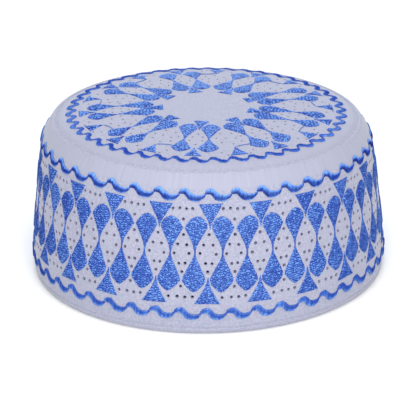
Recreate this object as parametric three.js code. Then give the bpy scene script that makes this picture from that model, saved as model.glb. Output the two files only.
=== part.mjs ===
// Round prayer cap: a standing side band of stiffened cloth with a domed crown sewn into its top.
// Millimetres, +Z up, the hem on the plane z = 0, the front towards -Y.

import * as THREE from 'three';

// Driving dimensions
const segmentsAround = 96;
const seamRadius = 79.6; // the crown's edge and the band's top edge meet here
const seamGap = 0.3;
const crownWall = 2.0;
const bandSteps = 18; // steps along the outside of the band's section
const bandInsideSteps = 11;
const crownSteps = 9;
const crownInsideSteps = 6;

// The cap stands a little taller on its left than on its right
const leanShare = 0.018; // of the height, at the lean radius
const leanRadius = 90;

// Outside of the side band, from the hem's roll up over the shoulder to the raised seam.
// The hem is folded cloth, so the wall is thickest there.
const hemFlat = { inner: 90.3, outer: 91.4 }; // the ring that the cap rests on
const bandSections = [
  { radius: 93.0, height: 1.4, wall: 2.9 },
  { radius: 93.9, height: 4.2, wall: 3.0 },
  { radius: 94.1, height: 11.7, wall: 2.5 },
  { radius: 92.4, height: 30.0, wall: 2.4 },
  { radius: 90.1, height: 50.0, wall: 2.4 },
  { radius: 87.1, height: 72.2, wall: 2.4 },
  { radius: 85.2, height: 76.4, wall: 2.4 },
  { radius: 82.7, height: 79.7, wall: 2.2 },
  { radius: 80.5, height: 82.1, wall: 2.2 },
];
const bandEdge = { top: 81.7, bottom: 79.5 };

// Top of the crown, from its edge in the seam to the middle of the dome
const crownEdge = { top: 81.6, bottom: 79.6 };
const crownSections = [
  { radius: 77.8, height: 82.6, wall: crownWall },
  { radius: 75.1, height: 83.9, wall: crownWall },
  { radius: 70.4, height: 84.8, wall: crownWall },
  { radius: 60.0, height: 86.0, wall: crownWall },
  { radius: 40.0, height: 87.2, wall: crownWall },
  { radius: 20.0, height: 87.8, wall: crownWall },
];
const crownMiddle = 88.0;

const cloth = { roughness: 0.85, metalness: 0 };
const bandColour = 0xc6c8da;
const crownColour = 0xcbcddd;

function point(radius, height) {
  return new THREE.Vector2(radius, height);
}

function onSection(section) {
  return point(section.radius, section.height);
}

// The points one wall thickness inside the sections, which run from the hem towards the middle
function insideOf(sections) {
  return sections.map((section, index) => {
    const before = sections[Math.max(index - 1, 0)];
    const after = sections[Math.min(index + 1, sections.length - 1)];
    const along = onSection(after).sub(onSection(before)).normalize();
    return point(section.radius - along.y * section.wall, section.height + along.x * section.wall);
  });
}

// A smooth line through the points, as evenly stepped points
function smoothed(points, steps) {
  const through = points.map((p) => new THREE.Vector3(p.x, p.y, 0));
  const curve = new THREE.CatmullRomCurve3(through, false, 'centripetal');
  return curve.getPoints(steps).map((p) => point(p.x, p.y));
}

// Turns an outline round the axis, stands it up along Z and leans it
function turned(outline) {
  const geometry = new THREE.LatheGeometry(outline, segmentsAround);
  geometry.rotateX(Math.PI / 2);
  const position = geometry.attributes.position;
  for (let i = 0; i < position.count; i += 1) {
    const lean = 1 - (leanShare * position.getX(i)) / leanRadius;
    position.setZ(i, position.getZ(i) * lean);
  }
  geometry.computeVertexNormals();
  return geometry;
}

function bandOutline() {
  const edgeRadius = seamRadius + seamGap / 2;
  const outside = bandSections.map(onSection);
  outside.push(point(edgeRadius, bandEdge.top));
  const inside = insideOf(bandSections).slice(0, -1); // the raised seam has no hollow behind it
  inside.push(point(edgeRadius, bandEdge.bottom));
  const start = point(hemFlat.inner, 0);
  return [
    start,
    point(hemFlat.outer, 0),
    ...smoothed(outside, bandSteps),
    ...smoothed(inside, bandInsideSteps).reverse(),
    start.clone(),
  ];
}

function crownOutline() {
  const edgeRadius = seamRadius - seamGap / 2;
  const top = [point(edgeRadius, crownEdge.top), ...crownSections.map(onSection), point(0, crownMiddle)];
  const underside = [
    point(edgeRadius, crownEdge.bottom),
    ...insideOf(crownSections),
    point(0, crownMiddle - crownWall),
  ];
  return [...smoothed(underside, crownInsideSteps).reverse(), ...smoothed(top, crownSteps)];
}

function clothPiece(name, outline, color) {
  const material = new THREE.MeshStandardMaterial({ color, ...cloth });
  const piece = new THREE.Mesh(turned(outline), material);
  piece.name = name;
  return piece;
}

const cap = new THREE.Group();
cap.add(clothPiece('side_band', bandOutline(), bandColour));
cap.add(clothPiece('crown', crownOutline(), crownColour));

export default cap;
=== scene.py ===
import math

import bpy
import numpy as np
from mathutils import Matrix, Vector


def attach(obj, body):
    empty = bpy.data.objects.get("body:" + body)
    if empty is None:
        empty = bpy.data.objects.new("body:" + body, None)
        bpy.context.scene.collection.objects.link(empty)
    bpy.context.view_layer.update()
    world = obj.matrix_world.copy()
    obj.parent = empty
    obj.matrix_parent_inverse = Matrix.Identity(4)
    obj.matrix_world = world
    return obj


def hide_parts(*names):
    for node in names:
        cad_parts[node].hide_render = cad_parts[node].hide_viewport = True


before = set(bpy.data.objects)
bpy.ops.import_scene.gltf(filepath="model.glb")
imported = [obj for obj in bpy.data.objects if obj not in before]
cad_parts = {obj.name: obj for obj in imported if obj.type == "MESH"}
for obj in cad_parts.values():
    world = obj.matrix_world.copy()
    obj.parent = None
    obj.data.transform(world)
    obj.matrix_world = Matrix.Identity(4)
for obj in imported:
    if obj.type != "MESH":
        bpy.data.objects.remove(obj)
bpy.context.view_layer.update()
print("frame loaded")

mm = 0.001  # the cap is laid out in millimetres, its objects are in metres

# The cap's form, as the frame has it
capForm = {
    "hemInner": 90.3,
    "hemOuter": 91.4,
    "bandRadius": [93.0, 93.9, 94.1, 92.4, 90.1, 87.1, 85.2, 82.7, 80.5],
    "bandHeight": [1.4, 4.2, 11.7, 30.0, 50.0, 72.2, 76.4, 79.7, 82.1],
    "bandWall": [2.9, 3.0, 2.5, 2.4, 2.4, 2.4, 2.4, 2.2, 2.2],
    "seamRadius": 79.62,
    "bandEdgeTop": 81.7,
    "bandEdgeBottom": 79.5,
    "crownRadius": [0, 20.0, 40.0, 60.0, 70.4, 75.1, 77.8, 79.6],
    "crownHeight": [88.0, 87.8, 87.2, 86.0, 84.8, 83.9, 82.6, 81.6],
    "crownWall": 2.0,
    "leanShare": 0.018,
    "leanRadius": 90,
}

# The embroidered cloth is drawn flat and then sewn round. Across the band one millimetre is one
# at the flat radius, and the drawing climbs to the right as it goes up.
layout = {
    "flatRadius": 91.0,
    "climb": math.radians(0.037),  # turn for each millimetre of height
    "climbMiddle": 44.0,
    "start": math.radians(0.065),
    "lensCount": 44,
    "slopeStep": 0.05,  # an outline's slope is taken over this much of it
    "sink": 0.4,  # the cloth lies this much inside the cap's outline, which the stitches fill
    "sinkFade": 4.0,  # and comes back to it over this much at the band's edges
    "sinkTop": 81.0,
}
wholeTurn = 2 * math.pi * layout["flatRadius"]
lensPitch = wholeTurn / layout["lensCount"]
lensPairs = layout["lensCount"] // 2

# Hand sewing: each line wanders by a fraction of a millimetre, along three waves round the cap
handSewing = {
    "stray": 0.2,
    "waves": [
        {"turns": 3, "shift": 1, "rise": 40, "share": 1.0},
        {"turns": 11, "shift": 2, "rise": -25, "share": 0.6},
        {"turns": 29, "shift": 3, "rise": 12, "share": 0.45},
    ],
    "phase": {"across": 0.7, "up": 2.1, "crown": 4.0},
    "fade": 8.0,  # the lines run true over this much at the band's edges
    "top": 80.0,
    "crownFade": 40.0,  # and wander less inside this radius on the crown
    "crownRadius": 60.0,
}


# Small tools

def toLinear(code):
    # sRGB hex to the linear colour that a shader takes
    channels = [int(code[i:i + 2], 16) / 255 for i in (0, 2, 4)]
    return [c / 12.92 if c <= 0.04045 else ((c + 0.055) / 1.055) ** 2.4 for c in channels] + [1.0]


def smoothThrough(at, knots, values):
    # a smooth line through a few points that doesn't swing past them
    knots = np.asarray(knots, float)
    values = np.asarray(values, float)
    rise = np.diff(values) / np.diff(knots)
    slope = np.zeros(len(knots))
    product = rise[:-1] * rise[1:]
    total = rise[:-1] + rise[1:]
    climbing = product > 0
    slope[1:-1][climbing] = 2 * product[climbing] / total[climbing]
    slope[0], slope[-1] = rise[0], rise[-1]
    at = np.clip(at, knots[0], knots[-1])
    low = np.clip(np.searchsorted(knots, at, side="right") - 1, 0, len(knots) - 2)
    span = knots[low + 1] - knots[low]
    t = (at - knots[low]) / span
    start = values[low] * (1 + 2 * t) * (1 - t) ** 2 + slope[low] * span * t * (1 - t) ** 2
    end = values[low + 1] * t * t * (3 - 2 * t) - slope[low + 1] * span * t * t * (1 - t)
    return start + end


def clearSelection():
    if bpy.context.mode != "OBJECT":
        bpy.ops.object.mode_set(mode="OBJECT")
    bpy.ops.object.select_all(action="DESELECT")


def makeActive(piece):
    clearSelection()
    piece.select_set(True)
    bpy.context.view_layer.objects.active = piece


def openMesh(piece):
    makeActive(piece)
    bpy.ops.object.mode_set(mode="EDIT")
    bpy.ops.mesh.select_all(action="SELECT")


def closeMesh():
    bpy.ops.object.mode_set(mode="OBJECT")


def readPoints(piece):
    flat = np.zeros(len(piece.data.vertices) * 3)
    piece.data.vertices.foreach_get("co", flat)
    return flat.reshape(-1, 3)


def movePoints(piece, points):
    piece.data.vertices.foreach_set("co", np.asarray(points).ravel())
    piece.data.update()


def faceLoops(piece):
    corners = np.zeros(len(piece.data.loops), int)
    piece.data.loops.foreach_get("vertex_index", corners)
    starts = np.zeros(len(piece.data.polygons), int)
    piece.data.polygons.foreach_get("loop_start", starts)
    return corners, starts


def discard(piece):
    mesh = piece.data
    bpy.data.objects.remove(piece)
    bpy.data.meshes.remove(mesh)


def isInsideOut(piece):
    # area times centre dot normal, summed over a closed mesh's faces, is three times its volume
    faces = piece.data.polygons
    area = np.zeros(len(faces))
    centre = np.zeros(len(faces) * 3)
    normal = np.zeros(len(faces) * 3)
    faces.foreach_get("area", area)
    faces.foreach_get("center", centre)
    faces.foreach_get("normal", normal)
    return np.dot((centre * normal).reshape(-1, 3).sum(1), area) < 0


def turnInsideOut(piece):
    openMesh(piece)
    bpy.ops.mesh.flip_normals()
    closeMesh()


def joinCopies(name, model, points, values=None):
    # One mesh of many copies of a model. Points has a set for each copy, values a number for each point.
    # A copy that was laid mirrored comes out inside out, so the faces are turned where they need it.
    corners, starts = faceLoops(model)
    points = np.asarray(points)
    copies, count = points.shape[:2]
    mesh = bpy.data.meshes.new(name)
    mesh.vertices.add(copies * count)
    mesh.vertices.foreach_set("co", points.reshape(-1).astype(np.float32))
    mesh.loops.add(copies * len(corners))
    copy = np.arange(copies)[:, None]
    mesh.loops.foreach_set("vertex_index", (corners + copy * count).ravel().astype(np.int32))
    mesh.polygons.add(copies * len(starts))
    mesh.polygons.foreach_set("loop_start", (starts + copy * len(corners)).ravel().astype(np.int32))
    mesh.update(calc_edges=True)
    for label, numbers in (values or {}).items():
        attribute = mesh.attributes.new(label, "FLOAT", "POINT")
        attribute.data.foreach_set("value", np.asarray(numbers).reshape(-1).astype(np.float32))
    piece = bpy.data.objects.new(name, mesh)
    bpy.context.scene.collection.objects.link(piece)
    if isInsideOut(piece):
        turnInsideOut(piece)
    return piece


def applyModifier(piece, kind, settings):
    modifier = piece.modifiers.new(kind.lower(), kind)
    for label, value in settings.items():
        setattr(modifier, label, value)
    makeActive(piece)
    bpy.ops.object.modifier_apply(modifier=modifier.name)


def finishPiece(piece, materials, angle=None):
    makeActive(piece)
    if angle is None:
        bpy.ops.object.shade_smooth()
    else:
        bpy.ops.object.shade_smooth_by_angle(angle=math.radians(angle))
    piece.data.materials.clear()
    for material in materials:
        piece.data.materials.append(material)
    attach(piece, "root")
    clearSelection()
    return piece


# The surfaces that the flat drawing is wrapped on

def profileKnots():
    points = np.stack([capForm["bandRadius"], capForm["bandHeight"]], 1)
    padded = np.vstack([points[:1], points, points[-1:]])
    along = padded[2:] - padded[:-2]
    along /= np.linalg.norm(along, axis=1)[:, None]
    inward = np.stack([-along[:, 1], along[:, 0]], 1)
    inside = points + inward * np.array(capForm["bandWall"])[:, None]
    edge = [capForm["seamRadius"], capForm["bandEdgeTop"]]
    last = points[-1, 1] + np.hypot(*(points[-1] - edge))
    outer = np.vstack([[capForm["hemOuter"], 0], points, edge])
    inner = np.vstack([[capForm["hemInner"], 0], inside[:-1], [edge[0], capForm["bandEdgeBottom"]]])
    outerKnots = np.concatenate([[0], points[:, 1], [last]])
    innerKnots = np.concatenate([[0], points[:-1, 1], [last]])
    return outerKnots, outer, innerKnots, inner


outerKnots, outerLine, innerKnots, innerLine = profileKnots()
bandLast = outerKnots[-1]


def stray(angle, height, phase):
    total = 0
    for wave in handSewing["waves"]:
        total += wave["share"] * np.sin(wave["turns"] * angle + wave["shift"] * phase + height / wave["rise"])
    return handSewing["stray"] * total


def stand(angle, radius, height):
    # from turn, radius and height to metres, with the cap's slight lean
    x = radius * np.sin(angle)
    y = -radius * np.cos(angle)
    z = height * (1 - capForm["leanShare"] * x / capForm["leanRadius"])
    return np.stack([x, y, z], -1) * mm


def bandTurn(x, y):
    angle = x / layout["flatRadius"] + layout["climb"] * (y - layout["climbMiddle"]) + layout["start"]
    return angle + stray(angle, y, handSewing["phase"]["across"]) / layout["flatRadius"]


def awayFromEdges(y, width, top):
    # 1 on the band, falling to 0 over this width at the hem and at the height top
    return np.clip(y / width, 0, 1) * np.clip((top - y) / width, 0, 1)


def bandOutline(y):
    # radius and height of the band's outside
    return np.array([smoothThrough(y, outerKnots, line) for line in outerLine.T])


def bandWrap(x, y, lift):
    # x across and y up the flat band, lift above the cloth
    angle = bandTurn(x, y)
    wander = stray(angle, y, handSewing["phase"]["up"])
    y = y + awayFromEdges(y, handSewing["fade"], handSewing["top"]) * wander
    step = layout["slopeStep"]
    radius, height = bandOutline(y)
    outRadius, outHeight = bandOutline(y + step) - bandOutline(y - step)
    length = np.hypot(outRadius, outHeight) + 1e-9
    lift = lift - layout["sink"] * awayFromEdges(y, layout["sinkFade"], layout["sinkTop"])
    return stand(angle, radius + lift * outHeight / length, height - lift * outRadius / length)


def crownWrap(x, y, lift):
    # x and y on the flat crown, y towards the front
    radius = np.hypot(x, y)
    angle = np.arctan2(x, y)
    step = layout["slopeStep"]
    height = smoothThrough(radius, capForm["crownRadius"], capForm["crownHeight"])
    ahead = smoothThrough(radius + step, capForm["crownRadius"], capForm["crownHeight"])
    slope = (ahead - height) / step
    length = np.hypot(slope, 1)
    wander = stray(angle, radius, handSewing["phase"]["crown"])
    shift = wander * np.clip(radius / handSewing["crownFade"], 0, 1) / handSewing["crownRadius"]
    return stand(angle + shift, radius - lift * slope / length, height + lift / length)


def onBand(across):
    return lambda x, y, lift: bandWrap(across + x, y, lift)


def onCrown(turn):
    # y runs outward along the turn, x beside it
    side, ahead = math.sin(turn), math.cos(turn)
    return lambda x, y, lift: crownWrap(y * side + x * ahead, y * ahead - x * side, lift)


# Materials

def setStops(elements, stops):
    while len(elements) < len(stops):
        elements.new(0.5)
    for element, (place, code) in zip(elements, stops):
        element.position = place
        element.color = toLinear(code)


def addNode(tree, kind, settings=None, links=None):
    # settings are properties of the node, defaults of its sockets or a ramp's colour stops,
    # and links are sockets that feed it
    node = tree.nodes.new(kind)
    for label, value in (settings or {}).items():
        if label == "stops":
            setStops(node.color_ramp.elements, value)
        elif isinstance(label, str) and hasattr(node, label):
            setattr(node, label, value)
        else:
            node.inputs[label].default_value = value
    for label, source in (links or {}).items():
        tree.links.new(source, node.inputs[label])
    return node


def startMaterial(name):
    # an empty material, its nodes and the Object coordinates that its patterns read
    material = bpy.data.materials.new(name)
    material.use_nodes = True
    tree = material.node_tree
    tree.nodes.clear()
    return material, tree, addNode(tree, "ShaderNodeTexCoord").outputs["Object"]


def mottle(tree, place, size, detail, stops):
    # spots of about this size in millimetres, and the colours that run through them
    spots = addNode(tree, "ShaderNodeTexNoise", {"Scale": 1 / (size * mm), "Detail": detail},
                    {"Vector": place}).outputs["Fac"]
    return spots, addNode(tree, "ShaderNodeValToRGB", {"stops": stops}, {"Fac": spots}).outputs["Color"]


def finishMaterial(tree, colour, settings, height=None, strength=0, relief=0):
    # the bump, shader and output that a material ends with, its relief in millimetres
    links = {"Base Color": colour}
    if height is not None:
        bump = addNode(tree, "ShaderNodeBump", {"Strength": strength, "Distance": relief * mm},
                       {"Height": height})
        links["Normal"] = bump.outputs["Normal"]
    shader = addNode(tree, "ShaderNodeBsdfPrincipled", settings, links)
    addNode(tree, "ShaderNodeOutputMaterial", {}, {"Surface": shader.outputs["BSDF"]})


def clothMaterial():
    # Starched white cotton, plain woven: matt, a little lilac from its brightener, with a fine thread
    # pattern and a soft mottle. The real weave of 0.3 mm is drawn at 0.7 mm, so that it shows.
    material, tree, place = startMaterial("StarchedCotton")
    cloth = {"weave": 0.7, "weaveHeight": 0.6, "stippleShare": 0.5, "hueShare": 0.25}
    flat = addNode(tree, "ShaderNodeUVMap", {"uv_map": "cloth"}).outputs["UV"]
    _, soft = mottle(tree, place, size=9.0, detail=3.0, stops=[(0.3, "9B9DB6"), (0.7, "A0A2BA")])
    stipple, dots = mottle(tree, place, size=1.0, detail=2.0,
                           stops=[(0.35, "888AA4"), (0.5, "9EA0B9"), (0.65, "B4B5C8")])
    _, tint = mottle(tree, place, size=1.6, detail=1.0, stops=[(0.35, "A99BB8"), (0.65, "96A7B5")])
    # of a colour mix, socket 0 is the second colour's share, and 6 and 7 are the colours
    stippled = addNode(tree, "ShaderNodeMix", {"data_type": "RGBA", 0: cloth["stippleShare"]},
                       {6: soft, 7: dots}).outputs[2]
    colour = addNode(tree, "ShaderNodeMix", {"data_type": "RGBA", 0: cloth["hueShare"]},
                     {6: stippled, 7: tint}).outputs[2]
    warp, weft = [addNode(tree, "ShaderNodeTexWave", {
        "bands_direction": direction,
        "Scale": 2 * math.pi / 20 / cloth["weave"],  # at scale 1 the bands are 2 pi / 20 wide
        "Distortion": 0.6,
        "Detail": 1.0,
    }, {"Vector": flat}).outputs["Fac"] for direction in ("X", "Y")]
    weave = addNode(tree, "ShaderNodeMath", {"operation": "MAXIMUM"}, {0: warp, 1: weft}).outputs[0]
    height = addNode(tree, "ShaderNodeMath", {"operation": "MULTIPLY_ADD", 1: cloth["weaveHeight"]},
                     {0: weave, 2: stipple}).outputs[0]
    finishMaterial(tree, colour, {"Roughness": 0.85, "IOR": 1.5, "Specular IOR Level": 0.25,
                                  "Sheen Weight": 0.3, "Sheen Roughness": 0.5},
                   height, strength=0.35, relief=0.25)
    return material


def whiteThreadMaterial():
    # White polyester embroidery thread: twisted and slightly shiny, with a pale lilac shade in its folds.
    # Only the eyelets' rims go down to the deep violet: painted shade that widens the dark of each hole.
    material, tree, place = startMaterial("WhitePolyesterThread")
    twistSize = 0.5
    stops = [(0.0, "2A2470"), (0.25, "9799B2"), (0.6, "9FA1B8"), (1.0, "AAABC1")]
    shade = addNode(tree, "ShaderNodeAttribute", {"attribute_name": "shade"}).outputs["Fac"]
    twist = addNode(tree, "ShaderNodeTexNoise", {"Scale": 1 / (twistSize * mm), "Detail": 1.0},
                    {"Vector": place}).outputs["Fac"]
    colour = addNode(tree, "ShaderNodeValToRGB", {"stops": stops}, {"Fac": shade}).outputs["Color"]
    finishMaterial(tree, colour, {"Roughness": 0.6, "IOR": 1.55, "Specular IOR Level": 0.2,
                                  "Sheen Weight": 0.3, "Sheen Roughness": 0.5},
                   twist, strength=0.3, relief=0.1)
    return material


def blueThreadMaterial():
    # Blue rayon embroidery thread with a silky gloss. Shade runs from 0, deep, to 1, pale: it carries random
    # tone from stitch to stitch, and also a painted highlight on the crest of each stitch and painted shade
    # where the needle pulls it down.
    # Rayon's own IOR is near 1.53, and 1.7 gives the strong gloss of its packed strands.
    material, tree, place = startMaterial("BlueRayonThread")
    thread = {"fleck": 0.9, "fleckShare": 0.6, "twist": 0.35}
    stops = [(0.0, "0A1480"), (0.32, "1D38A6"), (0.62, "3156BE"), (1.0, "709CEA")]
    shade = addNode(tree, "ShaderNodeAttribute", {"attribute_name": "shade"}).outputs["Fac"]
    fleck = addNode(tree, "ShaderNodeTexNoise", {"Scale": 1 / (thread["fleck"] * mm), "Detail": 1.0},
                    {"Vector": place}).outputs["Fac"]
    flecked = addNode(tree, "ShaderNodeMath", {"operation": "MULTIPLY_ADD", 1: thread["fleckShare"]},
                      {0: fleck, 2: shade}).outputs[0]
    drawn = addNode(tree, "ShaderNodeMath", {"operation": "SUBTRACT", 1: thread["fleckShare"] / 2},
                    {0: flecked}).outputs[0]
    colour = addNode(tree, "ShaderNodeValToRGB", {"stops": stops}, {"Fac": drawn}).outputs["Color"]
    twist = addNode(tree, "ShaderNodeTexNoise", {"Scale": 1 / (thread["twist"] * mm), "Detail": 1.0},
                    {"Vector": place}).outputs["Fac"]
    finishMaterial(tree, colour, {"Roughness": 0.42, "IOR": 1.7, "Specular IOR Level": 1.0,
                                  "Specular Tint": toLinear("A4DCFF")},
                   twist, strength=0.25, relief=0.08)
    return material


def underlayMaterial():
    # The same rayon as laid under the top stitches: matt, and coloured deep as painted shade, because little
    # light gets down to it
    material, tree, place = startMaterial("BlueRayonUnderlay")
    grain, colour = mottle(tree, place, size=0.8, detail=2.0, stops=[(0.3, "182C8C"), (0.7, "2A49AE")])
    finishMaterial(tree, colour, {"Roughness": 0.6, "IOR": 1.53}, grain, strength=0.4, relief=0.1)
    return material


def eyeletWallMaterial():
    # The bound inside of an eyelet: cloth and thread coloured a dull deep violet, painted shade for the dark
    # inside the hole
    material, tree, place = startMaterial("EyeletWall")
    _, colour = mottle(tree, place, size=0.6, detail=1.0, stops=[(0.3, "080452"), (0.7, "120C70")])
    finishMaterial(tree, colour, {"Roughness": 0.9, "IOR": 1.5, "Specular IOR Level": 0.1})
    return material


cotton = clothMaterial()
whiteThread = whiteThreadMaterial()
blueThread = blueThreadMaterial()
underlay = underlayMaterial()
eyeletWall = eyeletWallMaterial()
print("materials ready")


# The two shells: a flat piece is cut with its eyelets, repeated and wrapped round

def bisectAt(places, normal):
    for place in places:
        bpy.ops.mesh.select_all(action="SELECT")
        bpy.ops.mesh.bisect(plane_co=[place * part for part in normal], plane_no=normal)


def flatTile(name, left, right, columns, rows, depth):
    # a flat piece of cloth from row to row, with its outside on z = 0
    width, height = right - left, rows[-1]
    clearSelection()
    bpy.ops.mesh.primitive_cube_add(size=1)
    tile = bpy.context.object
    tile.name = name
    tile.data.name = name
    openMesh(tile)
    bpy.ops.transform.resize(value=(width, height, depth))
    bpy.ops.transform.translate(value=(left + width / 2, height / 2, -depth / 2))
    bisectAt(np.linspace(left, right, columns + 1)[1:-1], (1, 0, 0))
    bisectAt(rows[1:-1], (0, 1, 0))
    closeMesh()
    return tile


def cutEyelets(tile, eyelets, depth, sides):
    # eyelets are x, y and half-widths along x and y
    clearSelection()
    bpy.ops.mesh.primitive_cylinder_add(vertices=sides, radius=1, depth=depth * 3)
    punch = bpy.context.object
    model = readPoints(punch)
    holes = [model * [wide, tall, 1] + [x, y, 0] for x, y, wide, tall in eyelets]
    punches = joinCopies("punches", punch, holes)
    applyModifier(tile, "BOOLEAN", {"operation": "DIFFERENCE", "solver": "EXACT", "object": punches})
    discard(punch)
    discard(punches)


def markEyelets(tile, left, right, last):
    # hole walls take the second material, and the tile's two ends are opened for its neighbours
    openMesh(tile)
    bpy.ops.mesh.quads_convert_to_tris(quad_method="BEAUTY", ngon_method="BEAUTY")
    bpy.ops.mesh.select_all(action="DESELECT")
    closeMesh()
    close = 1e-3
    for face in tile.data.polygons:
        upright = abs(face.normal.z) < 0.5
        atSide = min(abs(face.center.x - left), abs(face.center.x - right)) < close
        atEnd = min(abs(face.center.y), abs(face.center.y - last)) < close
        face.material_index = 1 if upright and not atSide and not atEnd else 0
        face.select = upright and atSide
    bpy.ops.object.mode_set(mode="EDIT")
    bpy.ops.mesh.select_mode(type="FACE")
    bpy.ops.mesh.delete(type="ONLY_FACE")
    closeMesh()


def repeatTile(tile, width, count):
    applyModifier(tile, "ARRAY", {
        "count": count,
        "use_relative_offset": False,
        "use_constant_offset": True,
        "constant_offset_displace": (width, 0, 0),
        "use_merge_vertices": True,
        "merge_threshold": 1e-3,
    })


def keepFlatMap(piece):
    # the flat drawing's millimetres stay with each corner as the cloth's own map
    corners, _ = faceLoops(piece)
    flat = readPoints(piece)[corners][:, :2]
    layer = piece.data.uv_layers.new(name="cloth")
    layer.data.foreach_set("uv", flat.ravel().astype(np.float32))


def closeShell(piece):
    openMesh(piece)
    bpy.ops.mesh.remove_doubles(threshold=2e-6)
    bpy.ops.mesh.normals_make_consistent(inside=False)
    closeMesh()


def clothRows(cloth, last):
    # the listed rows near both ends of a tile, and even ones between them
    start = cloth["rows"][-1] + cloth["rowStep"]
    between = np.arange(start, cloth["endRows"][0] - 1, cloth["rowStep"])
    return np.concatenate([cloth["rows"], between, cloth["endRows"], [last]])


# The band
bandCloth = {
    "depth": 2.4,
    "columns": 10,
    "rows": [0, 0.4, 1.2, 2.1, 2.8, 3.2, 3.5, 3.8, 4.2, 5, 6.5, 8, 10, 12.5, 15],
    "crease": {"height": 3.5, "width": 0.4, "depth": 0.5},  # where the hem is turned in
    "rowStep": 2.6,
    "endRows": [72.6, 74.2, 75.6, 76.8, 77.8, 78.8, 79.7, 80.5, 81.2, 81.7, 82.1, 82.5],
    "holeRadius": 0.68,
    "holeSides": 10,
    "holeStray": 0.16,
    # eyelets inside every lens, beside its leaning axis
    "lensHoles": [(-0.4, 52.4), (-3.0, 47.4), (1.8, 47.4), (-4.5, 42.9), (3.3, 42.9),
                  (-1.7, 37.8), (1.5, 37.8), (-0.2, 33.4)],
    # and above and below every second lens, where no triangles are
    "openHoles": [(-0.6, 60.2), (-6.7, 65.7), (-3.0, 65.7), (0.7, 65.7), (3.8, 65.7),
                  (-0.3, 26.0), (-5.8, 20.4), (-1.2, 20.4), (2.1, 20.4), (5.5, 20.4)],
}


def bandEyelets(rng):
    # places of the eyelets of one pair of lenses, the first of them at x = 0
    places = []
    for lens in range(2):
        holes = bandCloth["lensHoles"] + (bandCloth["openHoles"] if lens else [])
        for x, y in holes:
            shift = rng.normal(0, bandCloth["holeStray"], 2)
            places.append((lens * lensPitch + x + shift[0], y + shift[1]))
    return places


def makeBandCloth(eyelets):
    left, right = -0.5 * lensPitch, 1.5 * lensPitch
    rows = clothRows(bandCloth, bandLast)
    tile = flatTile("band_cloth", left, right, bandCloth["columns"], rows, bandCloth["depth"])
    radius = bandCloth["holeRadius"]
    cutEyelets(tile, [(x, y, radius, radius) for x, y in eyelets], bandCloth["depth"], bandCloth["holeSides"])
    markEyelets(tile, left, right, rows[-1])
    repeatTile(tile, 2 * lensPitch, lensPairs)
    keepFlatMap(tile)
    x, y, z = readPoints(tile).T
    crease = bandCloth["crease"]
    outer = bandWrap(x, y, -crease["depth"] * np.exp(-((y - crease["height"]) / crease["width"]) ** 2))
    inner = stand(bandTurn(x, y), smoothThrough(y, innerKnots, innerLine[:, 0]),
                  smoothThrough(y, innerKnots, innerLine[:, 1]))
    depth = np.clip(-z / bandCloth["depth"], 0, 1)[:, None]
    movePoints(tile, outer * (1 - depth) + inner * depth)
    closeShell(tile)
    finishPiece(tile, [cotton, eyeletWall], angle=40)
    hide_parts("side_band")
    return tile


# The crown, drawn as nine sectors. A narrow lens stands on each sector's axis.
crownCloth = {
    "sectors": 9,
    "firstAxis": math.radians(-6),
    "flatRadius": 50.0,
    "columns": 12,
    "rows": [0, 3, 6, 10, 14, 18],
    "rowStep": 2.6,
    "endRows": [71, 72.8, 74.4, 75.8, 76.8, 77.6, 78.3, 79.0],
    "holeRadius": 0.33,
    "holeSides": 8,
    "holeStray": 0.2,
    "seamAngle": 8.5,  # degrees from the axis to the sector's edge, through the drops
    # beside the axis and out along it, in the narrow lens and then in the wide one
    "narrowHoles": [(0.3, 40.5), (-2.3, 44.5), (2.4, 44.6), (-3.2, 49.2), (3.0, 49.0), (0.2, 53.6)],
    "wideHoles": [(-2.8, 40.5), (2.9, 40.8), (-6.6, 45.6), (6.4, 45.4), (-2.0, 46.5), (3.4, 47.5),
                  (-5.0, 51.5), (5.2, 51.8), (0.2, 54.5), (-8.2, 62.8), (8.3, 62.6), (-5.6, 66.2),
                  (5.7, 66.0)],
}
sectorTurn = 2 * math.pi / crownCloth["sectors"]


def crownEyelets(rng):
    # turn and radius of the eyelets of one sector, the wide lens half a sector before its axis
    places = []
    for holes, turn in ((crownCloth["narrowHoles"], 0), (crownCloth["wideHoles"], -sectorTurn / 2)):
        for x, y in holes:
            x, y = np.array([x, y]) + rng.normal(0, crownCloth["holeStray"], 2)
            places.append((turn + math.atan2(x, y), math.hypot(x, y)))
    return places


def makeCrownCloth(eyelets):
    scale = crownCloth["flatRadius"]
    right = math.radians(crownCloth["seamAngle"]) * scale
    left = right - sectorTurn * scale
    rows = clothRows(crownCloth, capForm["crownRadius"][-1])
    wall = capForm["crownWall"]
    tile = flatTile("crown_cloth", left, right, crownCloth["columns"], rows, wall)
    radius = crownCloth["holeRadius"]
    cutEyelets(tile, [(turn * scale, out, radius * scale / out, radius) for turn, out in eyelets], wall,
               crownCloth["holeSides"])
    markEyelets(tile, left, right, rows[-1])
    repeatTile(tile, sectorTurn * scale, crownCloth["sectors"])
    x, y, z = readPoints(tile).T
    turn = x / scale + crownCloth["firstAxis"]
    flat = np.stack([y * np.sin(turn), y * np.cos(turn), z], -1)
    movePoints(tile, flat)
    keepFlatMap(tile)
    outer = crownWrap(flat[:, 0], flat[:, 1], 0)
    movePoints(tile, outer + z[:, None] * [0, 0, mm])
    closeShell(tile)
    finishPiece(tile, [cotton, eyeletWall], angle=40)
    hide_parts("crown")
    return tile


bandHoles = bandEyelets(np.random.default_rng(11))
crownHoles = crownEyelets(np.random.default_rng(12))
makeBandCloth(bandHoles)
print("band cloth wrapped")
makeCrownCloth(crownHoles)
print("crown cloth domed")


# Eyelet rims: a small ring of thread round every hole
# the rims' shade range takes them to the white thread's deep violet: painted shade round each hole
rim = {"radius": 0.72, "thread": 0.1, "flatness": 0.5, "steps": 10, "sides": 4, "crownShare": 0.7,
       "sizeSpread": 0.05, "lift": 0.05, "shadeRange": (0.0, 0.08)}


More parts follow.
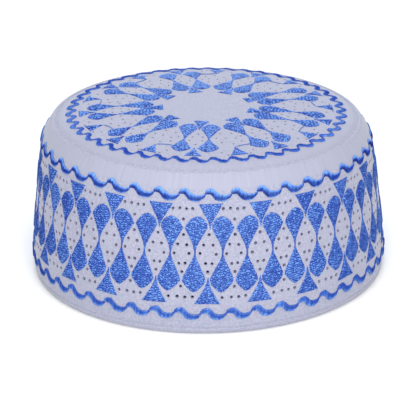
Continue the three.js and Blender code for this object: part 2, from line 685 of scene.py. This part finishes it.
def makeRims(name, seats, size, rng):
    clearSelection()
    bpy.ops.mesh.primitive_torus_add(major_segments=rim["steps"], minor_segments=rim["sides"],
                                     major_radius=rim["radius"] * size, minor_radius=rim["thread"] * size)
    ring = bpy.context.object
    a, b, c = readPoints(ring).T
    points, shades = [], []
    for place, x, y in seats:
        grow = 1 + rng.normal(0, rim["sizeSpread"])
        points.append(place(x + a * grow, y + b * grow, rim["lift"] + c * rim["flatness"]))
        shades.append(np.full(len(a), rng.uniform(*rim["shadeRange"])))
    piece = joinCopies(name, ring, points, {"shade": shades})
    discard(ring)
    return finishPiece(piece, [whiteThread])


bandSeats = [(onBand(2 * pair * lensPitch), x, y) for pair in range(lensPairs) for x, y in bandHoles]
makeRims("band_eyelet_rims", bandSeats, 1.0, np.random.default_rng(21))
crownSeats = [(onCrown(crownCloth["firstAxis"] + sector * sectorTurn + turn), 0, out)
              for sector in range(crownCloth["sectors"]) for turn, out in crownHoles]
makeRims("crown_eyelet_rims", crownSeats, rim["crownShare"], np.random.default_rng(22))
print("eyelets bound")


# Fill embroidery. A motif's rows are how far along, and its left and right edge. A bend shifts it
# sideways by its first number up to bendFrom, and from there bit by bit to its second at the end.
# the crown's stitches are drawn paler than the band's, a painted highlight for the crown's brighter gloss;
# their wider spread is random tone
crownStitch = {"length": 1.9, "shade": 0.9, "spread": 0.5}
motifs = {
    "upperDrop": {"puff": 0.5, "rows": [
        (42.4, -0.3, 0.3), (43.6, -0.35, 0.35), (45.4, -0.65, 0.6), (47.6, -1.4, 1.35), (50.3, -2.8, 2.75),
        (53.1, -4.3, 4.3), (54.9, -5.3, 5.2), (55.7, -5.75, 5.5), (56.4, -5.5, 5.8), (57.8, -4.75, 5.6),
        (59.5, -3.6, 4.85), (60.75, -2.5, 3.8), (61.5, -1.3, 2.6), (61.85, 0.2, 1.4)]},
    "lowerDrop": {"puff": 0.5, "rows": [
        (23.0, -0.4, 0.6), (23.4, -1.2, 1.4), (24.2, -2.1, 2.4), (25.5, -3.4, 3.8), (27.2, -4.9, 5.1),
        (28.8, -5.75, 5.75), (29.6, -6.0, 5.9), (30.4, -5.6, 5.55), (32.0, -4.9, 4.8), (34.3, -3.85, 3.75),
        (36.5, -2.8, 2.75), (38.7, -1.7, 1.65), (40.9, -0.75, 0.7), (42.6, -0.3, 0.3)]},
    "upperTriangle": {"puff": 0.4, "rows": [
        (55.3, -0.2, 0.2), (56.6, -0.35, 0.35), (58.0, -0.65, 0.65), (60.3, -1.65, 1.65),
        (63.3, -3.45, 3.45), (66.0, -5.0, 5.0), (68.2, -6.35, 6.35)]},
    "lowerTriangle": {"puff": 0.4, "rows": [
        (16.8, -6.35, 6.35), (19.0, -5.0, 5.0), (21.6, -3.5, 3.5), (24.9, -1.65, 1.65), (27.5, -0.75, 0.75),
        (29.0, -0.4, 0.4), (30.3, -0.2, 0.2)]},
    "innerTriangle": {"puff": 0.4, **crownStitch, "rows": [
        (22.6, -4.2, 4.2), (25.5, -3.0, 3.0), (29.0, -1.6, 1.6), (32.0, -0.7, 0.7), (34.6, -0.25, 0.25)]},
    "innerDrop": {"puff": 0.45, **crownStitch, "bend": (0.0, -2.3), "bendFrom": 33.0, "rows": [
        (27.8, -1.0, 1.0), (28.5, -2.4, 2.4), (30.0, -3.7, 3.7), (32.0, -4.6, 4.6), (33.6, -5.05, 5.05),
        (34.6, -4.7, 4.7), (38.0, -3.35, 3.35), (42.0, -1.8, 1.8), (45.5, -0.7, 0.7), (47.6, -0.3, 0.3)]},
    "outerDrop": {"puff": 0.45, **crownStitch, "bend": (1.0, 0.0), "bendFrom": 47.0, "rows": [
        (47.0, -0.3, 0.3), (49.0, -0.9, 0.9), (52.0, -2.3, 2.3), (55.0, -3.85, 3.85), (57.3, -5.0, 5.0),
        (58.1, -5.2, 5.2), (59.4, -4.6, 4.6), (61.0, -3.3, 3.3), (62.2, -1.7, 1.7), (62.7, -0.5, 0.5)]},
    "outerTriangle": {"puff": 0.4, **crownStitch, "rows": [
        (57.8, -0.25, 0.25), (60.0, -0.9, 0.9), (62.4, -2.0, 2.0), (64.8, -3.4, 3.4), (66.8, -4.6, 4.6)]},
}

fillStitch = {
    "pitch": 0.6,
    "length": 1.2,
    "reach": 0.92,  # how much of its length a stitch fills between its two needle holes
    "width": 0.62,
    "thickness": 0.18,
    "brick": 0.1,  # each column starts this share of a stitch further on
    "shortest": 0.35,  # no needle hole comes nearer an end than this share of a stitch
    "drift": 0.05,
    "lift": 0.03,
    "shade": 0.74,
    "shadeSpread": 0.22,
    "shadeRange": (0.05, 1.1),
    "motifSpread": 0.05,  # how the shade differs from one motif to the next
    # needleShade paints both tips of a stitch deep: painted shade where the needle pulls the thread into the
    # cloth
    "needleShade": 0.0,
}
outlineStep = 0.04  # how finely a column of stitches is cut off at the outline
# the padding under a motif: it slopes at both ends and is lower where the motif is narrow
padding = {"slope": 1.2, "fullHalf": 2.5, "least": 0.15}
# beds of thread, as shares of what they lie under, with their lift and how deep they root
motifBed = {"width": 0.97, "puff": 0.9, "lift": 0.04, "root": -0.1}
waveBed = {"width": 0.9, "puff": 0.85, "lift": 0.03, "root": -0.1, "length": 0.996}


def motifEdges(motif, y):
    along, left, right = np.array(motif["rows"]).T
    start, end = motif.get("bend", (0, 0))
    bendFrom = motif.get("bendFrom", 0)
    share = np.clip((y - bendFrom) / (along[-1] - bendFrom), 0, 1)
    shift = start + (end - start) * share
    return smoothThrough(y, along, left) + shift, smoothThrough(y, along, right) + shift


def mirrored(motif):
    turned = dict(motif, rows=[(along, -right, -left) for along, left, right in motif["rows"]])
    turned["bend"] = tuple(-shift for shift in motif.get("bend", (0, 0)))
    return turned


def puffAt(motif, x, y):
    # how high the padding stands: round across the motif, flat along its narrow tip
    left, right = motifEdges(motif, y)
    half = np.maximum((right - left) / 2, 0.05)
    share = np.clip(np.abs(x - (left + right) / 2) / half, 0, 1)
    first, last = motif["rows"][0][0], motif["rows"][-1][0]
    ends = np.clip((y - first) / padding["slope"], 0, 1) * np.clip((last - y) / padding["slope"], 0, 1)
    full = np.clip(half / padding["fullHalf"], padding["least"], 1)
    return motif["puff"] * np.sqrt(1 - share ** 2) * full * np.sqrt(ends)


def needleWander(column, y):
    # uneven needle holes, as a share of a stitch: from hole to hole and from column to column
    return 0.17 * np.sin(7 * column + 3 * y) + 0.2 * np.sin(1.9 * column)


def combedStitches(motif):
    # upright columns of stitches, brick fashion, cut off at the motif's outline
    rows = np.array(motif["rows"])
    along = np.arange(rows[0, 0], rows[-1, 0] + outlineStep / 2, outlineStep)
    left, right = motifEdges(motif, along)
    half = math.ceil(max(-left.min(), right.max()) / fillStitch["pitch"])
    length = motif.get("length", fillStitch["length"])
    margin = fillStitch["shortest"] * length
    fewestSteps = 12  # a shorter column is left out
    stitches = []
    for column in range(-half, half + 1):
        x = column * fillStitch["pitch"]
        inside = along[(left <= x) & (right >= x)]
        if len(inside) < fewestSteps:
            continue
        low, high = inside[0], inside[-1]
        first = (math.floor(low / length) + column * fillStitch["brick"] % 1) * length
        breaks = np.arange(first, high, length)
        breaks = breaks + length * needleWander(column, breaks)
        breaks = breaks[(breaks > low + margin) & (breaks < high - margin)]
        ends = np.concatenate([[low], breaks, [high]])
        stitches.extend((x, *pair) for pair in zip(ends[:-1], ends[1:]))
    return np.array(stitches)


def modelStitch(spans):
    # A thread between two needle holes, along x from -0.5 to 0.5, one wide and one thick, with its
    # round side up. Its spans are the places of the rings between the two tips.
    clearSelection()
    bpy.ops.mesh.primitive_cylinder_add(vertices=3, radius=1, depth=2 * spans[-1], end_fill_type="TRIFAN")
    stitch = bpy.context.object
    openMesh(stitch)
    bisectAt(spans[1:-1], (0, 0, 1))
    closeMesh()
    a, b, along = readPoints(stitch).T
    atTip = np.hypot(a, b) < 0.01
    along = np.where(atTip, np.sign(along) * 0.5, along)
    up = np.where(atTip, 0.15, (b + 0.5) / 1.5)
    movePoints(stitch, np.stack([along, np.where(atTip, 0, a / math.sqrt(3)), up], -1))
    openMesh(stitch)
    bpy.ops.mesh.normals_make_consistent(inside=False)
    closeMesh()
    return stitch


def modelPad(across, along):
    # a closed pad, x from -1 to 1 across and y from 0 to 1 along, z 1 on top and 0 below
    clearSelection()
    bpy.ops.mesh.primitive_cube_add(size=1)
    pad = bpy.context.object
    openMesh(pad)
    bpy.ops.transform.resize(value=(2, 1, 1))
    bpy.ops.transform.translate(value=(0, 0.5, 0.5))
    bisectAt(np.linspace(-1, 1, across + 1)[1:-1], (1, 0, 0))
    bisectAt(np.linspace(0, 1, along + 1)[1:-1], (0, 1, 0))
    closeMesh()
    return pad


longSpans = [-0.38, -0.14, 0.14, 0.38]
shortStitch = modelStitch([-0.22, 0.22])
longStitch = modelStitch(longSpans)
motifPad = modelPad(6, 10)
wavePad = modelPad(4, 12)


def fillMotif(name, jobs, rng):
    # Jobs are a motif and the places that it is sewn at. One mesh holds all the top stitches.
    along, side, up = readPoints(shortStitch).T
    points, shades = [], []
    for motif, places in jobs:
        stitches = combedStitches(motif)
        middle = (stitches[:, 1:2] + stitches[:, 2:3]) / 2
        length = stitches[:, 2:3] - stitches[:, 1:2]
        for place in places:
            count = len(stitches)
            drift = rng.normal(0, fillStitch["drift"], (2, count, 1))
            width = fillStitch["width"] * rng.uniform(0.9, 1.1, (count, 1))
            x = stitches[:, 0:1] + drift[0] + side * width
            y = middle + drift[1] * 2 + along * length * fillStitch["reach"]
            thickness = up * fillStitch["thickness"] * rng.uniform(0.8, 1.2, (count, 1))
            points.append(place(x, y, puffAt(motif, x, y) + fillStitch["lift"] + thickness))
            mean = motif.get("shade", fillStitch["shade"]) + rng.normal(0, fillStitch["motifSpread"])
            own = mean + rng.normal(0, motif.get("spread", fillStitch["shadeSpread"]), (count, 1))
            own = np.clip(own, *fillStitch["shadeRange"])
            # the tips at the needle holes take the painted shade
            atTip = np.abs(along) > 0.45
            shades.append(np.where(atTip, fillStitch["needleShade"], own))
    piece = joinCopies(name, shortStitch, np.concatenate(points), {"shade": np.concatenate(shades)})
    return finishPiece(piece, [blueThread], angle=70)


def layUnderlay(name, jobs):
    across, along, up = readPoints(motifPad).T
    points = []
    for motif, places in jobs:
        first, last = motif["rows"][0][0], motif["rows"][-1][0]
        y = first + (last - first) * along
        left, right = motifEdges(motif, y)
        x = (left + right) / 2 + across * (right - left) / 2 * motifBed["width"]
        lift = np.where(up > 0.5, puffAt(motif, x, y) * motifBed["puff"] + motifBed["lift"], motifBed["root"])
        points.extend(place(x, y, lift) for place in places)
    piece = joinCopies(name, motifPad, points)
    return finishPiece(piece, [underlay], angle=50)


lensPlaces = [onBand(lens * lensPitch) for lens in range(layout["lensCount"])]
# two drops stand a little closer together where no triangles come between them
dropSeat = {"shift": -0.2, "closer": (0.3, -0.3)}
dropPlaces = [onBand((lens + 0.5) * lensPitch + dropSeat["shift"] + dropSeat["closer"][lens % 2])
              for lens in range(layout["lensCount"])]


def crownPlaces(degrees):
    return [onCrown(crownCloth["firstAxis"] + sector * sectorTurn + math.radians(degrees))
            for sector in range(crownCloth["sectors"])]


# a drop is drawn with its triangle on the right
upperJob = [(motifs["upperDrop"], dropPlaces[1::2]), (mirrored(motifs["upperDrop"]), dropPlaces[::2])]
lowerJob = [(motifs["lowerDrop"], dropPlaces[1::2]), (mirrored(motifs["lowerDrop"]), dropPlaces[::2])]
triangleJob = [(motifs["upperTriangle"], lensPlaces[::2]), (motifs["lowerTriangle"], lensPlaces[::2])]
crownTurns = {"innerDrop": 10.2, "outerDrop": 6.5, "halfSector": 20}  # degrees from a sector's axis
crownJob = [(motifs["innerTriangle"], crownPlaces(0))]
for label in ("innerDrop", "outerDrop"):
    crownJob.append((motifs[label], crownPlaces(crownTurns[label])))
    crownJob.append((mirrored(motifs[label]), crownPlaces(-crownTurns[label])))
crownJob.append((motifs["outerTriangle"], crownPlaces(0) + crownPlaces(crownTurns["halfSector"])))
fillMotif("upper_drop_stitches", upperJob, np.random.default_rng(31))
fillMotif("lower_drop_stitches", lowerJob, np.random.default_rng(32))
fillMotif("band_triangle_stitches", triangleJob, np.random.default_rng(33))
fillMotif("crown_motif_stitches", crownJob, np.random.default_rng(34))
layUnderlay("band_underlay", upperJob + lowerJob + triangleJob)
layUnderlay("crown_underlay", crownJob)
print("motifs filled")


# Satin waves. Their rows are the share of a wave, and the stroke's low and high edge. The painted shading
# runs from the low to the high end of a stitch, at a wave's crest and at its trough: its pale parts are
# painted highlight and its deep parts painted shade, as light would fall on the curve of the satin.
waves = {
    "upper": {"count": 42, "start": math.radians(-0.18) * layout["flatRadius"], "stitches": 24,
              "ridge": 0.48, "slant": 0.3, "thread": 0.22,
              "crestPaintedShading": [0.5, 0.1, 0.0, 0.9, 1.1, 0.9],
              "troughPaintedShading": [1.1, 1.0, 0.25, 0.05, 1.0, 0.9],
              "rows": [(0.0, 72.75, 75.85), (0.0625, 72.0, 75.65), (0.125, 71.0, 75.15), (0.19, 70.05, 74.4),
                       (0.25, 69.65, 73.95), (0.375, 69.25, 72.95), (0.5, 69.25, 72.65), (0.625, 69.85, 72.6),
                       (0.69, 70.5, 72.75), (0.75, 71.15, 73.1), (0.765, 71.3, 73.2), (0.785, 72.5, 74.4),
                       (0.81, 72.8, 74.9), (0.875, 72.9, 75.45)]},
    "lower": {"count": 46, "start": math.radians(-0.12) * layout["flatRadius"], "stitches": 22,
              "ridge": 0.55, "slant": 0.3, "thread": 0.22,
              "crestPaintedShading": [0.9, 0.9, 0.65, 0.5, 0.55, 0.75],
              "troughPaintedShading": [0.9, 1.0, 0.75, 0.35, 0.45, 0.75],
              "rows": [(0.0, 11.6, 14.85), (0.0625, 11.15, 15.0), (0.125, 10.15, 14.4), (0.19, 9.2, 13.85),
                       (0.25, 8.45, 12.95), (0.375, 8.1, 11.75), (0.5, 7.95, 11.35), (0.625, 8.55, 11.45),
                       (0.69, 9.05, 11.45), (0.75, 10.1, 12.1), (0.77, 10.4, 12.5), (0.79, 11.4, 13.6),
                       (0.875, 11.6, 14.45)]},
    "crown": {"count": 46, "start": 0.0, "stitches": 20, "ridge": 0.3, "slant": 0.2, "thread": 0.36,
              "crestPaintedShading": [0.6, 0.55, 0.4, 0.4, 0.55, 0.6],
              "troughPaintedShading": [0.6, 0.55, 0.4, 0.4, 0.55, 0.6],
              "rows": [(0.0, 71.3, 73.3), (0.05, 71.2, 72.9), (0.1, 70.7, 72.2), (0.14, 69.6, 71.4),
                       (0.19, 68.7, 70.8), (0.25, 68.2, 70.6), (0.375, 67.95, 70.9), (0.5, 68.35, 71.8),
                       (0.625, 69.8, 73.3), (0.75, 70.6, 73.8), (0.875, 71.0, 74.0)]},
}

satinStitch = {
    "fray": 0.09,
    "overlap": 1.25,  # a stitch's width against the pitch
    "fullLength": 3.0,  # shorter stitches lie flatter
    "least": 0.4,
    "lift": 0.02,
    "shadeSpread": 0.1,
}


def strokeEdges(wave, share):
    # a row or two from the next wave at each end make the line run on
    rows = np.array(wave["rows"])
    place, low, high = np.concatenate([rows[-2:] - [1, 0, 0], rows, rows[:2] + [1, 0, 0]]).T
    return smoothThrough(share, place, low), smoothThrough(share, place, high)


def satinWave(name, wave, place, spacing, rng):
    along, side, up = readPoints(longStitch).T
    count = wave["stitches"]
    share = ((np.arange(count * wave["count"]) + 0.5) / count)[:, None]
    low, high = strokeEdges(wave, share % 1)
    frayed = rng.normal(0, satinStitch["fray"], (2, len(share), 1))
    low, high = low + frayed[0], high + frayed[1]
    width = spacing / count * satinStitch["overlap"]
    x = wave["start"] + share * spacing + side * width + wave["slant"] * along
    y = (low + high) / 2 + along * (high - low)
    full = np.clip((high - low) / satinStitch["fullLength"], satinStitch["least"], 1)
    arch = np.sqrt(np.clip(1 - (2 * along) ** 2, 0, 1)) * wave["ridge"] * full
    lift = arch + up * wave["thread"] * rng.uniform(0.8, 1.2, share.shape) + satinStitch["lift"]
    ringPlaces = [-0.5, *longSpans, 0.5]
    # painted highlight and painted shade along each stitch, blended from crest to trough
    crest = 0.5 + 0.5 * np.cos(2 * math.pi * share)
    shades = crest * np.interp(along, ringPlaces, wave["crestPaintedShading"])
    shades += (1 - crest) * np.interp(along, ringPlaces, wave["troughPaintedShading"])
    shades = np.clip(shades + rng.normal(0, satinStitch["shadeSpread"], share.shape), 0.0, 1.0)
    piece = joinCopies(name, longStitch, place(x, y, lift), {"shade": shades})
    return finishPiece(piece, [blueThread], angle=70)


def layWaveBed(name, wave, place, spacing):
    # one bed under each wave, which doesn't quite touch the next
    across, along, up = readPoints(wavePad).T
    low, high = strokeEdges(wave, along % 1)
    y = (low + high) / 2 + across * (high - low) / 2 * waveBed["width"]
    arch = np.sqrt(np.clip(1 - across ** 2, 0, 1)) * wave["ridge"] * waveBed["puff"]
    lift = np.where(up > 0.5, arch + waveBed["lift"], waveBed["root"])
    points = [place(wave["start"] + (number + along * waveBed["length"]) * spacing, y, lift)
              for number in range(wave["count"])]
    piece = joinCopies(name, wavePad, points)
    return finishPiece(piece, [underlay], angle=50)


def aroundCrown(x, y, lift):
    # x runs round the crown at the flat radius, y is the distance from its middle
    turn = x / layout["flatRadius"]
    return crownWrap(y * np.sin(turn), y * np.cos(turn), lift)


for label, place in (("upper", bandWrap), ("lower", bandWrap), ("crown", aroundCrown)):
    wave = waves[label]
    spacing = wholeTurn / wave["count"]
    satinWave(label + "_wave", wave, place, spacing, np.random.default_rng(46))
    layWaveBed(label + "_wave_underlay", wave, place, spacing)
print("waves sewn")


# Loose runs of blue thread: the necks between the drops and the jumps on the crown
neckThread = {"low": 38.8, "high": 47.2, "width": 0.75, "thickness": 0.35, "lift": 0.12, "wander": 0.12}
jumpThread = {"from": (0.3, 58.0), "to": (8.6, 56.2), "turn": crownTurns["halfSector"], "width": 0.45,
              "thickness": 0.3, "lift": 0.1, "sag": 0.5}
looseShade = {"mean": 0.62, "spread": 0.05}


def looseThreads(rng):
    along, side, up = readPoints(longStitch).T
    points = []
    for place in dropPlaces:
        y = (neckThread["low"] + neckThread["high"]) / 2 + along * (neckThread["high"] - neckThread["low"])
        wander = neckThread["wander"] * np.sin(along * 5 + rng.uniform(0, 6))
        x = side * neckThread["width"] + wander
        points.append(place(x, y, neckThread["lift"] + up * neckThread["thickness"]))
    start, end = np.array(jumpThread["from"]), np.array(jumpThread["to"])
    run = end - start
    normal = np.array([-run[1], run[0]]) / np.hypot(*run)
    middle = (start + end) / 2
    sag = jumpThread["sag"] * (1 - 4 * along ** 2)
    x = middle[0] + along * run[0] + side * normal[0] * jumpThread["width"]
    y = middle[1] + along * run[1] + side * normal[1] * jumpThread["width"] - sag
    for place in crownPlaces(jumpThread["turn"]):
        points.append(place(x, y, jumpThread["lift"] + up * jumpThread["thickness"]))
    own = looseShade["mean"] + rng.normal(0, looseShade["spread"], (len(points), 1))
    shades = np.clip(own, 0, 1) * np.ones(len(along))
    piece = joinCopies("loose_threads", longStitch, points, {"shade": shades})
    return finishPiece(piece, [blueThread])


looseThreads(np.random.default_rng(51))


# White ribs: dense pale stitches round the crown's edge and the shoulder
ribRings = {
    "crown_ribs": {"place": aroundCrown, "low": 72.6, "high": 78.4, "width": 1.0},
    "shoulder_ribs": {"place": bandWrap, "low": 74.6, "high": 81.6, "width": 1.1},
}
ribStitch = {
    "pitch": 0.9,
    "thickness": 0.06,
    "lift": 0.03,
    "endSpread": 0.35,
    "sideSpread": 0.08,
    "shade": 0.6,
    "shadeSpread": 0.05,
    "shadeRange": (0.35, 1),
}


def ribRing(name, ring, rng):
    along, side, up = readPoints(longStitch).T
    count = int(wholeTurn / ribStitch["pitch"])
    number = np.arange(count)[:, None]
    ends = rng.normal(0, ribStitch["endSpread"], (2, count, 1))
    low, high = ring["low"] + ends[0], ring["high"] + ends[1]
    drift = rng.normal(0, ribStitch["sideSpread"], (count, 1))
    x = (number + 0.5) * wholeTurn / count + side * ring["width"] + drift
    y = (low + high) / 2 + along * (high - low)
    lift = ribStitch["lift"] + up * ribStitch["thickness"] * rng.uniform(0.7, 1.3, (count, 1))
    own = rng.normal(ribStitch["shade"], ribStitch["shadeSpread"], (count, 1))
    shades = np.clip(own, *ribStitch["shadeRange"]) * np.ones(len(along))
    piece = joinCopies(name, longStitch, ring["place"](x, y, lift), {"shade": shades})
    return finishPiece(piece, [whiteThread], angle=70)


for order, (label, ring) in enumerate(ribRings.items()):
    ribRing(label, ring, np.random.default_rng(61 + order))
print("white ribs sewn")

for model in (shortStitch, longStitch, motifPad, wavePad):
    discard(model)


# Floor, light and camera
studio = {
    "floorSize": 6.0,
    "floorColour": "FAFAFA",
    "floorShade": "F7F7F8",
    "floorCloud": 1000 / 3,  # millimetres
    "worldColour": "FFFFFF",
    "worldStrength": 0.55,
    "aim": (0, 0, 0.04),  # the softboxes look at the cap's middle
}
softboxes = {
    "front_softbox": {"place": (0.04, -1.3, 0.55), "size": (0.7, 0.5), "power": 11.8, "colour": "FFFFF3"},
    "top_softbox": {"place": (0.0, -0.4, 1.4), "size": (0.9, 0.9), "power": 10.6, "colour": "FFFFFF"},
    "rear_softbox": {"place": (0.0, 1.3, 0.5), "size": (1.2, 0.7), "power": 8.5, "colour": "C8E0FF"},
}
view = {
    "distance": 1122.06,
    "elevation": math.radians(22.307),
    "target": (0.03, 0.0, 30.11),
    "focalPixels": 2097.6,
    "widthPixels": 416,
    "sensor": 36,
    "near": 0.05,
    "far": 20,
    "roll": math.radians(-1.013),
}


def floorMaterial():
    # Plain painted board: matt and near white, with a faint unevenness
    material, tree, place = startMaterial("PaleFloor")
    stops = [(0.3, studio["floorColour"]), (0.7, studio["floorShade"])]
    _, colour = mottle(tree, place, size=studio["floorCloud"], detail=2.0, stops=stops)
    finishMaterial(tree, colour, {"Roughness": 0.9, "Specular IOR Level": 0.1})
    return material


def makeFloor():
    clearSelection()
    bpy.ops.mesh.primitive_plane_add(size=studio["floorSize"])
    floor = bpy.context.object
    floor.name = "floor"
    floor.data.materials.append(floorMaterial())
    floor.visible_glossy = False


def makeLights():
    world = bpy.data.worlds.new("studio")
    bpy.context.scene.world = world
    world.use_nodes = True
    background = world.node_tree.nodes["Background"]
    background.inputs["Color"].default_value = toLinear(studio["worldColour"])
    background.inputs["Strength"].default_value = studio["worldStrength"]
    world.cycles_visibility.glossy = False
    for name, box in softboxes.items():
        bpy.ops.object.light_add(type="AREA", location=box["place"])
        light = bpy.context.object
        light.name = name
        light.data.shape = "RECTANGLE"
        light.data.size, light.data.size_y = box["size"]
        light.data.energy = box["power"]
        light.data.color = toLinear(box["colour"])[:3]
        light.visible_camera = False
        towards = Vector(studio["aim"]) - Vector(box["place"])
        light.rotation_euler = towards.to_track_quat("-Z", "Y").to_euler()


def makeCamera():
    target = Vector(view["target"]) * mm
    back = Vector((0, -math.cos(view["elevation"]), math.sin(view["elevation"])))
    data = bpy.data.cameras.new("camera")
    data.sensor_width = view["sensor"]
    data.lens = view["focalPixels"] / view["widthPixels"] * view["sensor"]
    data.clip_start = view["near"]
    data.clip_end = view["far"]
    camera = bpy.data.objects.new("camera", data)
    bpy.context.scene.collection.objects.link(camera)
    turn = (-back).to_track_quat("-Z", "Y").to_matrix() @ Matrix.Rotation(view["roll"], 3, "Z")
    camera.matrix_world = Matrix.Translation(target + back * view["distance"] * mm) @ turn.to_4x4()
    bpy.context.scene.camera = camera


makeFloor()
makeLights()
makeCamera()
bpy.context.scene.view_settings.view_transform = "Standard"
print("studio ready")
